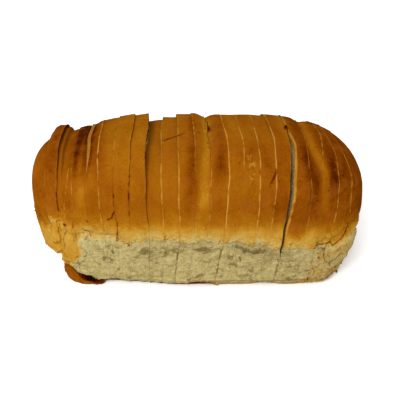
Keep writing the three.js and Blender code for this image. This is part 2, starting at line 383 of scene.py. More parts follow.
def cut_at(cut, y, z):
    """Place of a cut at a depth and height: a plane that leans and bends under the lip. Its track takes it
    off that plane on the front and the crown, fading out at the back, and it wanders a little."""
    lip = lip_level(cut.x)
    bend = np.where(z < lip, cut.foot * (lip - z) / lip, 0)
    ridge, shoulder, waist, low = cut.track
    stray = mix(low, waist, ease(z, 58, 80))
    stray = mix(stray, shoulder, ease(z, 86, 104))
    stray = mix(stray, ridge, ease(y, -34, -6)) * (1 - ease(y, 5, 50))
    along = z + 0.6 * y
    wander = 0.2 * np.sin(along / 7.1 + cut.number * 2.3) + 0.1 * np.sin(along / 3.3 + cut.number)
    return cut.x + cut.lean * (z - LEAN_LEVEL) + bend + stray + wander * (cut.number > 0)


def crown_angles():
    """Angles from the widest level to the ridge at which points stand evenly along a superellipse of equal
    half width and height. The arc is summed over many short chords and read back at even steps."""
    fine = np.linspace(0, math.pi / 2, 4001)
    across = np.cos(fine) ** (2 / ARCH_POWER)
    up = np.sin(fine) ** (2 / ARCH_POWER)
    across[-1] = 0
    along = np.concatenate([[0], np.cumsum(np.hypot(np.diff(across), np.diff(up)))])
    return np.interp(np.linspace(0, along[-1], CROWN_STEPS + 1)[1:], along, fine)


CROWN_ANGLES = crown_angles()
CROWN_ACROSS = np.append(np.cos(CROWN_ANGLES[:-1]) ** (2 / ARCH_POWER), 0)
CROWN_UP = np.sin(CROWN_ANGLES) ** (2 / ARCH_POWER)
WALL_SHARES = np.linspace(0, 1, WALL_STEPS + 1)
BELLY_SHARES = np.linspace(0, 1, BELLY_STEPS + 1)[1:] ** 1.25  # closer together next to the lip


def ragged_lip(middle, front):
    """Height of the lip at the middle of each ring, with the small tears of its edge. The front and the
    back are torn differently."""
    place = np.stack([middle, np.full_like(middle, -60 if front else 60), np.zeros_like(middle)], axis=-1)
    small = 1.1 * cloud(place, 4.2, 11) + 0.5 * cloud(place, 1.6, 12, 1)
    step = 4.5 * ease(middle, 89.2, 90.4) * (1 - ease(middle, 98, 100.5)) if front else 0
    return lip_level(middle) + small + step


def side_section(x, middle, piece, share, front):
    """Half depth and height of one side's stations, for places x (rings by stations): the wall up to the
    lip, the belly up to the widest level, and the crown up to the ridge."""
    wall_end = WALL_STEPS + 1
    belly_end = wall_end + BELLY_STEPS
    lowest = np.maximum(lowest_level(x), piece.hangs)
    wide = wide_level(x)
    lip = np.maximum(ragged_lip(middle, front), lowest)
    fade = arch(to_end(x), 2)
    z = np.empty_like(x)
    z[:, :wall_end] = mix(lowest[:, :wall_end], lip[:, :wall_end], WALL_SHARES)
    belly = slice(wall_end, belly_end)
    z[:, belly] = mix(lip[:, belly], wide[:, belly], BELLY_SHARES)
    z[:, belly_end:] = wide[:, belly_end:]
    half = lower_half_width(x, z, lip)
    rough = np.where((half > 0) & (z > 0), fade * unevenness(x, z), 0)
    half = np.maximum(half + rough, 0)
    if front:
        half[:, :belly_end] += flap_reach(x, z, half)[:, :belly_end]
    crown = slice(belly_end, None)
    height = crown_height(x, piece.rise)[:, crown]
    level = wide[:, crown] + height * CROWN_UP
    drawn = 1 - crease_draw(x[:, crown], CROWN_UP, level)
    width = HALF_WIDTH * arch(to_end(x), PLAN_POWER) + fade * unevenness(x, wide)
    half[:, crown] = np.maximum(width[:, crown], 0) * CROWN_ACROSS * drawn
    z[:, crown] = wide[:, crown] + height * CROWN_UP * drawn
    if piece.name == "slice_02":  # both its shoulders are rounded off
        rounded = 2.6 * (1 - ease(share[:, crown], 0, 0.35)) + 2 * ease(share[:, crown], 0.5, 0.95)
        z[:, crown] -= rounded * CROWN_UP
    if piece.name == "slice_03":  # it is low, and a sliver on its left stands up to the slice before it
        raised = 4 * (1 - ease(share[:, crown], 0.2, 0.4)) - 2.6
        z[:, crown] += raised * ease(CROWN_UP, 0.35, 0.9)
    return half, z


def skin_of(piece, left, right, shares):
    """Points of the skin (rings by points), from the front foot over the ridge to the back foot, and the
    piece's thickness at each. The height of a point fixes its place on the leaning cuts, which in turn
    corrects its height."""
    stations = WALL_STEPS + BELLY_STEPS + CROWN_STEPS + 1
    share = shares[:, None] * np.ones(stations)
    middle = mix(left.x, right.x, share)
    sides = []
    for front in (True, False):
        x = middle
        for _ in range(2):
            half, z = side_section(x, middle, piece, share, front)
            y = (-half if front else half) - piece.forward
            first, last = cut_at(left, y, z), cut_at(right, y, z)
            x = mix(first, last, share)
        sides.append(np.stack([x, y, z, last - first], axis=-1))
    skin = np.concatenate([sides[0], sides[1][:, -2::-1]], axis=1)
    return skin[..., :3], skin[..., 3]


def ring_shares(piece, left, right):
    """Where the rings stand, as shares of the way from the left cut to the right one: close together next
    to a cut, and next to the round end of a heel."""
    if piece.name in HEELS:
        shares = np.sin(np.linspace(0, math.pi / 2, HEEL_RINGS)) ** 1.15
        return 1 - shares[::-1] if piece.name == "heel_left" else shares
    thickness = right.x - left.x
    edge = np.array(EDGE_RINGS)
    inner = thickness - 2 * edge[-1]
    between = edge[-1] + inner * np.linspace(0, 1, round(inner / RING_STEP) + 1)[1:-1]
    return np.concatenate([edge, between, thickness - edge[::-1]]) / thickness


# --- Relief and colour of the skin ---


def normals_of(grid):
    """Unit normals of a grid of points, from the cross product of its two directions."""
    along = np.gradient(grid, axis=0)
    around = np.gradient(grid, axis=1)
    normal = np.cross(around, along)
    return normal / np.maximum(np.linalg.norm(normal, axis=-1, keepdims=True), 1e-9)


def girth_of(skin):
    """Distance of each point from the lip along the skin, up over the crown; below the lip it is negative.
    Both sides are measured from their own lip and meet at the ridge."""
    step = np.linalg.norm(np.diff(skin, axis=1), axis=-1)
    ridge = skin.shape[1] // 2
    front = np.concatenate([np.zeros((len(skin), 1)), np.cumsum(step[:, :ridge], axis=1)], axis=1)
    back = np.concatenate([np.zeros((len(skin), 1)), np.cumsum(step[:, :ridge - 1:-1], axis=1)], axis=1)
    front -= front[:, WALL_STEPS:WALL_STEPS + 1]
    back -= back[:, WALL_STEPS:WALL_STEPS + 1]
    return np.concatenate([front, back[:, -2::-1]], axis=1)


# A crack or other small mark along a path: on the front in x and z, or on the crown in x and y. half is
# half its width, deep how far it is sunk, dark how dark it is (below nought: how pale). The dark of a
# crack or a hole is partly its own colour and partly painted shade in it.
Mark = namedtuple("Mark", "on half deep dark path")
FRONT_MARKS = [
    (0.7, 0.7, 0.9, [(-104.4, 82), (-103.9, 76), (-103.5, 68)]), (1.3, 1.2, 1, [(-99.8, 56.9)]),
    (0.5, 0.6, 0.7, [(-99.9, 57), (-99.6, 51), (-101.3, 46), (-102.6, 42), (-101.9, 38), (-103, 33)]),
    (0.35, 0, -0.5, [(-95.6, 97), (-97.6, 82), (-99.4, 70), (-99.7, 60)]),
    (0.5, 0.6, 0.6, [(-93.3, 61), (-93.9, 54)]), (0.5, 0.6, 0.6, [(-93.7, 46), (-94.7, 41.5)]),
    (0.6, 0.9, 0.8, [(-86.6, 56), (-84.8, 54), (-81.9, 53.7)]),
    (0.6, 0.5, 0.7, [(-82.6, 63), (-82.3, 61.6)]), (0.6, 0.8, 0.7, [(-83.6, 47.6), (-85.7, 44.6)]),
    (0.6, 0.7, 0.55, [(-92.3, 29), (-94.4, 26), (-95, 23), (-97.5, 19.5)]),
    (0.6, 0.8, 1, [(-66.8, 65.4), (-63.4, 67.2), (-62.9, 70), (-61.2, 73)]),
    (0.55, 0.7, 0.8, [(-59.5, 64), (-60, 55), (-61.2, 45)]), (0.5, 0.6, 0.6, [(-24.8, 52), (-24, 46)]),
    (0.45, 0.5, 0.4, [(46.4, 61.8), (49, 60.9), (52.6, 61.5)]),
    (0.9, 0.8, 0.9, [(54.4, 99.5), (53.2, 96.5), (50.5, 92.8)]),
    (0.6, 1, 0.9, [(89, 41.4), (93.5, 40.2), (98, 40.8), (100, 42.3), (103.2, 38.4), (107.5, 41),
        (111.9, 43.6), (113.6, 48), (114.6, 54)]),
    (0.5, 0.7, 0.7, [(90.4, 41), (91.6, 36.4)]),
    (0.6, 0.8, 0.8, [(97.9, 40.4), (96.6, 34), (97.2, 29), (98.8, 24.6), (102.4, 22.8), (105.8, 24.4),
        (109.5, 26.4), (111.8, 30)]),
    (1.2, 1.6, 1, [(102.4, 22.8)]), (0.6, 0.8, 0.8, [(103, 21), (104.6, 17), (105.3, 12.6)]),
    (0.6, 0.8, 0.8, [(110.5, 13), (113.4, 14.2), (116.6, 17.4)]),
    (0.5, 0.6, 0.7, [(82, 6.2), (88, 8.2), (96, 8), (102, 9.4)]), (0.9, 0.7, 0.8, [(68.7, 4)]),
]
CROWN_MARKS = [
    (2.4, 5, 1.6, [(7, -6), (7.8, -12.5)]), (0.7, 0.8, 1, [(6.6, -28)]), (0.7, 0.8, 1, [(7, -32)]),
    (0.7, 0.6, 0.9, [(1.6, -28.6)]), (1.1, 0.8, 0.9, [(-0.1, -19.1)]),
    (0.7, 1, 1, [(-25.8, -24.3), (-20.3, -21.4), (-16.9, -18.9)]),
    (0.6, 0.9, 0.9, [(-16.2, -24), (-13, -22), (-10.4, -20.6)]),
    (0.5, 0, -0.5, [(-25.8, -26.2), (-21, -23.8)]), (1.6, 2.4, 1.2, [(66.6, -9), (66.2, -13)]),
]
MARKS = [Mark("front", *row) for row in FRONT_MARKS] + [Mark("crown", *row) for row in CROWN_MARKS]

# A browner or paler place on the crown. The pale ones near the top at x -31.5 and 66 are painted light
# on crown that a taller slice next to each shades.
Patch = namedtuple("Patch", "x z wide high bake")
PATCHES = [Patch(*row) for row in (
    (-109, 97, 7, 11, 0.18), (-97, 107, 5, 9, 0.1), (-94, 83, 4, 8, -0.12), (-95, 61, 5, 4, 0.12),
    (-86.5, 112, 5.5, 8, 0.34), (-90.5, 104, 2.2, 10, 0.26), (-82, 92, 6, 13, -0.04), (-76, 109, 7, 9, 0.2),
    (-109, 110, 5, 6, 0.12), (-31.5, 117, 4, 4, -0.12), (-67, 90, 5, 8, 0.12), (-55, 88, 4, 6, 0.1),
    (-4, 103, 4, 15, 0.16), (14, 105, 5, 10, 0.13), (14, 86, 6, 9, -0.14), (0, 79, 8, 5, -0.1),
    (28, 109, 6, 5, 0.06), (38, 113, 7, 7, 0.14), (38, 78, 5, 6, 0.05), (50, 106, 6, 9, 0.08),
    (78, 107, 3.6, 9, 0.12), (80, 95, 6, 11, 0.12), (100, 89, 5, 5, 0.12), (66, 117, 4, 5, -0.15),
    (86, 92, 3, 9, 0.1), (98.5, 98, 3.6, 11, 0.15), (109, 94, 5, 10, 0.1), (103, 71, 12, 8, -0.12),
    (112, 46, 14, 7, 0.14),
)]

# A hollow or chip in the torn front wall: deep is how far it is sunk, and dark how much painted shade is
# put in it. The widest and shallowest, at x 62, is mostly painted shade.
Hollow = namedtuple("Hollow", "x z wide high deep dark")
HOLLOWS = [Hollow(*row) for row in (
    (-61.5, 16.6, 1.6, 1.6, 1, 0.9), (-47, 31.5, 3, 2.4, 1.2, 0.8), (-35, 31, 5, 6, 1, 0.35),
    (-38, 36.5, 8, 4, 1, 0.85), (-23.5, 38, 7, 3, 1.6, 0.7), (3, 37.5, 9, 3.4, 1.6, 1),
    (14, 28.5, 4, 3, 0.8, 0.5), (62, 34, 18, 12, 0.3, 0.6), (7, 26.5, 5, 2.4, 1.1, 0.6),
    (27, 23, 4.6, 1.4, 1.2, 0.8), (41.5, 39, 7.5, 2.8, 1.8, 1), (53, 29, 6, 7, 1.2, 0.5),
    (39.5, 12.5, 8, 1.3, 1.1, 0.7), (76, 28, 6, 7, 1, 0.35),
)]


def path_distance(u, v, path):
    """Distance in a plane from each point to the nearest leg of a path of one or more places."""
    nearest = np.full(u.shape, 99.0)
    for (u0, v0), (u1, v1) in zip(path, path[1:] + path[-1:]):
        du, dv = u1 - u0, v1 - v0
        t = np.clip(((u - u0) * du + (v - v0) * dv) / max(du * du + dv * dv, 1e-9), 0, 1)
        nearest = np.minimum(nearest, np.hypot(u - u0 - t * du, v - v0 - t * dv))
    return nearest


def marks_on(skin):
    """How far the marks sink each point of the skin, and how dark and how pale they are there."""
    x, y, z = axes_of(skin)
    sunk, dark, pale = np.zeros((3,) + x.shape)
    ragged = 0.35 * cloud(skin, 1.8, 95, 1)
    for mark in MARKS:
        reach = 3 * mark.half + 1
        places = [place[0] for place in mark.path]
        if x.max() < min(places) - reach or x.min() > max(places) + reach:
            continue
        front = mark.on == "front"
        far = path_distance(x, z if front else y, mark.path)
        far = np.where((y < 0) & (z < 106) if front else z > 90, far, 99)
        share = 1 - ease(far + ragged, 0.35 * mark.half, 1.5 * mark.half)
        sunk = np.maximum(sunk, mark.deep * share)
        dark = np.maximum(dark, mark.dark * share)
        pale = np.maximum(pale, -mark.dark * share)
    return sunk, dark, pale


def flakes(points, size, seed):
    """Overlapping flakes: height from 0 to 1, and the crevice at their edges. Waves are cut into steps that
    rise steeply and sink slowly."""
    t = 1.7 * cloud(points, size, seed) + points[..., 2] / size[2] / 2
    t = t - np.floor(t)
    return ease(t, 0, 0.16) * (1 - t), 1 - ease(np.abs(t - 0.03), 0, 0.07)


def warped(points, size, seed, most):
    """The points pushed about by soft waves, so that what is made from them runs in no straight lines."""
    waves = [cloud(points, size, seed + axis, 1) for axis in range(3)]
    return points + most * np.stack(waves, axis=-1)


def hollows_in(points):
    """How deep the hollows of the front wall are, and how much painted shade darkens them. Their edges are
    ragged, and each falls off smoothly from its middle."""
    x, z = points[..., 0], points[..., 2]
    ragged = 0.5 * cloud(points, (3.5, 3.5, 2), 36)
    deep, dark = np.zeros((2,) + x.shape)
    for hollow in HOLLOWS:
        far = np.hypot((x - hollow.x) / hollow.wide, (z - hollow.z) / hollow.high)
        share = (1 - ease(far + ragged, 0.3, 1.2)) * (points[..., 1] < 0)
        deep = np.maximum(deep, hollow.deep * share)
        dark = np.maximum(dark, hollow.dark * share)
    return deep, dark


def wall_relief(points):
    """Torn crumb, and the painted shade in it: slow lumps, scoops with steep edges, and small chips and
    cracks where it is rough, with painted shade at the scoops' edges, in the chips and cracks and in the
    hollows."""
    bent = warped(points, 8, 21, 3)
    lumps = 0.7 * cloud(bent, (15, 15, 10), 24)
    scoop = ease(cloud(bent, (11, 11, 6), 25, 3), 0.05, 0.3)
    rough = ease(cloud(points, (14, 14, 9), 30), -0.4, 0.5)
    chip = ease(cloud(bent, (3.6, 3.6, 2.4), 27), 0.3, 0.7) * (0.15 + 0.85 * rough)
    crack = ease(0.08 - np.abs(cloud(bent, (6, 6, 4), 33, 3)), 0, 0.06) * rough
    fine = 0.4 * cloud(bent, 2.3, 28)
    deep, shade = hollows_in(points)
    height = lumps - 0.7 * scoop - 1.1 * chip - 0.6 * crack + fine - deep
    dark = 0.8 * scoop * (1 - scoop) + 0.8 * chip + 0.5 * crack
    return height, np.maximum(dark, shade)


def crust_relief(points):
    """Baked crust: faint blisters and fine wrinkles."""
    wrinkles = 0.12 * np.abs(cloud(warped(points, 6, 49, 2), (5, 5, 3), 44))
    return 0.25 * cloud(points, 15, 41) + wrinkles + 0.05 * cloud(points, 1.4, 47, 1)


Looks = namedtuple("Looks", "bake crumb rim dark")


def brownness(skin, girth, piece, corner):
    """How brown the crust is: pale at the lip over crumb, golden under the widest level and brown above it,
    in clouds and patches, with pale valleys between dark shoulders along the creases."""
    x, z = skin[..., 0], skin[..., 2]
    shift = 9 * ease(x, 60, 72) * (1 - 0.7 * ease(x, 72, 86)) * (1 - ease(z, 66, 78))
    over = z - wide_level(x) + 1.6 * cloud(skin, 9, 54) + shift
    over = over + 9 * ease(-x, 112, 115) * (1 - ease(z, 60, 70))
    over = over + 5 * cloud(skin, (16, 16, 9), 111) * ease(np.abs(x), 112, 126)
    band = girth + 1.6 * cloud(skin, (5, 5, 9), 55) + crust_below(x) + 5 * ease(x, 66, 90)
    bake = mix(mix(0, 0.08, ease(band, 1.5, 4.5)), 0.2, ease(band, 6, 14))
    bake = mix(0.22, bake, corner)
    bake = mix(bake, 0.48, ease(over, -8, 3))
    bake = mix(bake, 0.61, ease(over, 2, 13)) - 0.06 * ease(over, 17, 30) - 0.04 * ease(z, 112, 118)
    bake = bake + piece.bake * ease(over, -6, 8)
    bake = bake + 0.04 * cloud(skin, (9, 22, 22), 57) + 0.03 * cloud(skin, (3, 11, 11), 58)
    crown = ease(over, 0, 22)
    for crease in CREASES:
        off = (x - crease_middle(crease, z)) / crease.half
        strip = mix(bump(1.3 * off), 1 - ease(np.abs(off), 0.4, 1), 0.6)
        bake = bake - mix(crease.pale, crease.pale_top, ease(z, 84, 98)) * crown * strip
        bake = bake + crease.left_dark * crown * bump(off + 2) + crease.right_dark * crown * bump(off - 2)
    for patch in PATCHES:
        bake = bake + patch.bake * bump((x - patch.x) / patch.wide) * bump((z - patch.z) / patch.high)
    return bake


def crust_below(x):
    """How far down the wall the crust reaches past the lip: a bell near the left end, and the right end."""
    return 7 * bump((x + 76) / 30) + 12 * ease(x, 76, 116)


def stillness(skin, piece):
    """The share of its relief that the skin keeps. It fades out at the foot of a standing piece, and on a
    heel at the end's own middle line and where the rings meet."""
    share = 1 if piece.hangs else ease(skin[..., 2], 0, 0.6)
    if piece.name in HEELS:
        rings = np.arange(len(skin))[:, None]
        from_pole = rings if piece.name == "heel_left" else len(skin) - 1 - rings
        off_middle = mix(ease(np.abs(skin[..., 1]), 0, 5), 1, ease(skin[..., 2], 60, 66))
        share = share * ease(from_pole, 1, 7) * off_middle
    return share


def torn_away(skin):
    """How far the front foot is drawn in: along the left half, and round the right corner."""
    x, y, z = axes_of(skin)
    left = 4.6 * ease(x, -92, -84) * (1 - ease(x, -50, -18)) * (1 - ease(z, 0, 13))
    left = left + 2.2 * bump((x - 55) / 11) * (1 - ease(z, 0, 10))
    right = ease(x, 98, 114) * (1 - ease(z, 0, 30))
    move = np.zeros_like(skin)
    move[..., 0] = -2 * right * ease(-y, -10, 20)
    move[..., 1] = left + 4 * right
    return move * ease(-y, 0, 15)[..., None]


# The seam between two pieces: the piece on its left, the cuts on either side of it, and how far the skin
# next to it moves along y to come level with its neighbour's.
Seam = namedtuple("Seam", "owner left right step")

# Along the loaf, where the crust of each corner gives way to the open wall.
LEFT_CORNER = (-92, -86)
RIGHT_CORNER = (76, 92)
RIM_TURNS = -22  # to the right of this place the pale rim of a cut is on the piece on its right
FOOT_LINE = (1.6, 2.4)  # heights between which the brown line at the foot ends
FOOT_DROP = 3.4  # how much lower the line is on the left half
GROOVE = 6.4  # height of the groove over the base crust
BLISTERS = (37, 101)  # place and height of the middle of the blisters
MOST_RIM, MOST_DARK = 1.2, 1.3

# How a skin is divided. girth: distance from the lip. level: distance from the lower edge of the crust.
# corner: nought at the left corner, 1 to the right of it. right_corner: 1 at the right corner. foot: 1 over
# the brown line at the foot. bare: 1 below the crust. open_wall: bare, clear of the left corner.
# standing: 1, or nought on a piece that hangs.
Ground = namedtuple("Ground", "girth level corner right_corner foot bare open_wall standing")


class Dress:
    """What a skin is dressed with at each point: how deep it is sunk, how dark it is (cracks, and painted
    shade) and how pale (cut crust, and painted highlights), and how far it moves along the loaf to close a
    gap (close) and across it to come level (level_up)."""

    def __init__(self, skin):
        self.sunk, self.dark, self.rim = marks_on(skin)
        self.close, self.level_up = np.zeros((2,) + skin.shape[:-1])

    def darken(self, amount):
        """Makes it at least that dark."""
        self.dark = np.maximum(self.dark, amount)

    def brighten(self, amount):
        """Makes it at least that pale."""
        self.rim = np.maximum(self.rim, amount)


def divide(skin, piece):
    """Where a skin is wall and where it is crust. The corners and the line at the foot are ragged."""
    x, _, z = axes_of(skin)
    standing = 1 if piece.hangs == 0 else 0
    girth = girth_of(skin)
    corner = x + 1.8 * cloud(skin, 6, 51) + 0.12 * np.abs(z - 33) + 0.8 * np.clip(27 - z, 0, 12)
    corner = ease(corner, *LEFT_CORNER)
    right_corner = ease(x - 0.12 * (z - 20) + 4 * cloud(skin, 9, 52), *RIGHT_CORNER)
    foot = 1
    if standing:
        foot = ease(z + 0.5 * cloud(skin, 9, 53) - FOOT_DROP * ease(x, -20, 10), *FOOT_LINE)
    level = girth + crust_below(x)
    bare = ease(-level, 0, 0.6)
    return Ground(girth, level, corner, right_corner, foot, bare, bare * corner, standing)


def crumb_share(skin, ground, patchy):
    """Where crumb shows: below the crust, from the left corner on, and over the brown line at the foot. At
    the right corner there is less of it, and crust is left on it in patches."""
    ledge = ground.level + 1.6 * cloud(skin, (4, 4, 8), 56)
    crumb = ease(-ledge, -3, -0.5) * ground.corner * (1 - (0.42 + 0.16 * patchy) * ground.right_corner)
    return crumb * (1 - (0.75 - 0.35 * ease(skin[..., 0], 5, 25)) * (1 - ground.foot))


def baked(skin, ground, piece):
    """How brown the skin is: the crust's brownness, nearly nought on the wall, and the base crust's own
    brownness in the line at the foot."""
    x, y, _ = axes_of(skin)
    bake = brownness(skin, ground.girth, piece, ground.corner)
    wall = 0.04 + 0.09 * ground.right_corner
    bake = mix(bake, wall, ground.corner * ease(-ground.level, -0.3, 0.2))
    base_bake = 0.42 - 0.26 * ease(x, 5, 25) + 0.1 * cloud(skin, 8, 59)
    return mix(bake, base_bake, ground.standing * (1 - ground.foot) * ease(y, 60, 30))


def torn_corner(skin):
    """Where the crust of the left end is torn low down, and the knobs that it is torn into: they rise from
    nought at the cracks between them, where soft waves change sign."""
    x, y, z = axes_of(skin)
    ragged = 1.2 * cloud(skin, (4, 4, 6), 62)
    left = -x + ragged
    torn = ease(left, 100.5, 102) * (1 - ease(left, 112.5, 114)) * (1 - ease(z + ragged, 60, 61.5))
    return torn * (y < 0), np.abs(cloud(warped(skin, 7, 69, 2.5), (6, 6, 11), 63))


def flap_and_hollow(skin, standing):
    """Where the flap of base crust is, where the hollow over it is, and how deep in shadow both are."""
    x, y, z = axes_of(skin)
    share = ease(flap_share(x) * (y < 0) * standing, 0.03, 0.2)
    flap_top, hollow_top = flap_levels(x)
    flap = share * (z <= flap_top)
    hollow = share * (z > flap_top) * (1 - ease(z - hollow_top, -0.8, 0.1))
    shaded = flap * ease(z - flap_top, -2, -0.6) * bump((x + 84) / 16)
    return flap, hollow, 1.3 * np.maximum(hollow, shaded)


def dress_cut(dress, skin, ground, distance, seam, side):
    """Dresses the skin next to one cut, at a distance from it: rounded over, gaping where the pieces part,
    pale where cut crust shows, darkened by painted shade in the gap where they part and in dots along the
    cut, and moved up to its neighbour. side is 1 on the left of the cut and -1 on the right."""
    x, y, z = axes_of(skin)
    owner, girth, level = seam.owner, ground.girth, ground.level
    top = ease(z, 96, 110)
    broken = np.clip(0.8 + 0.5 * cloud(skin, (40, 4, 4), 61), 0, 1.2)
    gape = mix(owner.gape[1], owner.gape[0], top) * broken * ease(z, 60, 68)
    shown = np.where((x > RIM_TURNS) == (side < 0), 1, 0.25)
    light = mix(owner.rim[1], owner.rim[0], top) * broken * shown
    opened = np.where(girth < 0, owner.seam * ground.corner * broken, gape)
    radius = 0.03 + opened
    dress.sunk += radius * (1 - np.sqrt(1 - np.clip(1 - distance / radius, 0, 1) ** 2))
    dress.brighten(light * (1 - ease(distance, 0.5, 1.3)) * ease(level, 0, 6))
    dotted = 0.45 + 0.55 * ease(cloud(skin, (40, 5, 5), 92), -0.4, 0.3)
    dress.darken(np.minimum(2.4 * opened, 0.9) * dotted * (1 - ease(distance, 0.3, 1.1)))
    dots = ease(cloud(skin, (40, 2.5, 2.5), 112), -0.2, 0.4) * bump((level - 5) / 7)
    dress.darken(0.6 * dots * (1 - ground.bare) * (1 - ease(distance, 0.3, 0.9)))
    spare = np.maximum(cut_at(seam.right, y, z) - cut_at(seam.left, y, z) - SOFT_GAP, 0)
    if owner.gap > 1:  # it closes in the wall, and over that its right edge is crushed into it
        above = ease(girth, -9, 5)
        if side < 0:
            over = above * ease(spare, 0.5, 2)
            dress.close -= 0.4 * spare * over * (1 - ease(distance, 0, 4))
            dress.sunk += 0.5 * over * (1 - ease(distance, 0, 1.2))
            dress.brighten(0.8 * broken * over * (1 - ease(distance, 0.9, 2)) * ease(level, 0, 6))
        spare = spare * (1 - above)
    dress.close += side * spare / 2 * (1 - ease(distance, 0, 1.5 + 1.5 * spare))
    dress.level_up += seam.step * (1 - ease(distance, 0, 4)) * (1 - 0.6 * ease(girth, 8, 22))


def blister(dress, skin):
    """Small blisters in one place of the crown: waves that stand out, with a painted highlight on top and
    painted shade between.
    """
    x, y, z = axes_of(skin)
    there = bump((x - BLISTERS[0]) / 5) * bump((z - BLISTERS[1]) / 13) * (y < 0)
    waves = cloud(warped(skin, 4, 115, 2), (1.5, 1.5, 3), 98)
    dress.brighten(0.6 * there * ease(waves, 0.25, 0.7))
    dress.darken(0.6 * there * ease(-waves, 0.3, 0.6))
    dress.sunk -= 0.45 * there * waves


def add_flakes(dress, skin, ground, relief, rough):
    """The relief with flakes where the crust is coarse, with painted shade in the crevices at their edges,
    and with small dark tears near its lower edge. Also how much browner the crust is in spots there."""
    x, _, z = axes_of(skin)
    flaky = bump((x + 78) / 32) * bump((z - 56) / 9) + 0.8 * bump((ground.girth - 3) / 5)
    flaky = np.clip(flaky + ease(x, 80, 94) * bump((ground.girth - 4) / 9), 0, 1)
    height, crevice = flakes(skin, (9, 9, 8), 67)
    relief = relief + (1 - rough) * flaky * (height - 0.4)
    dress.darken(0.45 * (1 - rough) * flaky * crevice)
    near_lip = (1 - rough) * bump((ground.level - 5) / 6)
    tears = cloud(warped(skin, 5, 101, 2), (4.5, 4.5, 6), 105)
    tear = (1 - ease(np.abs(tears), 0.01, 0.08)) * ease(cloud(skin, 6, 107), -0.25, 0.25)
    dress.darken(0.9 * near_lip * tear)
    return relief + near_lip * (0.5 * np.abs(tears) - 0.6 * tear), near_lip * 0.06 * cloud(skin, 2.2, 109)


def recess(dress, skin, ground, relief):
    """The relief with the recess under the lip, deepest in the middle of the loaf and dying away below as
    a power of e, and with the lip swollen over it. Painted shade darkens the recess, and a wider band under
    the lip in the middle of the loaf."""
    girth, open_wall = ground.girth, ground.open_wall
    middle = ease(skin[..., 0], -54, -32) * (1 - ease(skin[..., 0], 82, 94))
    under = 1.2 * middle - 0.2 + (1.2 + 1.2 * middle) * cloud(skin, (8, 8, 40), 64)
    relief = relief - open_wall * np.clip(under, 0, 4) * np.exp(girth / 3)
    shade = 0.95 * ease(under, 1, 2.8) * np.exp(girth / 2.5) + 0.42 * middle * np.exp(girth / 11)
    dress.darken(open_wall * shade * ease(-girth, 0, 0.8) * (1 - ground.right_corner))
    over_lip = np.exp(-np.abs(girth) / 2) * ease(girth, -0.4, 0.4)
    return relief + (1 - open_wall) * ground.corner * (0.2 + 0.7 * middle) * over_lip


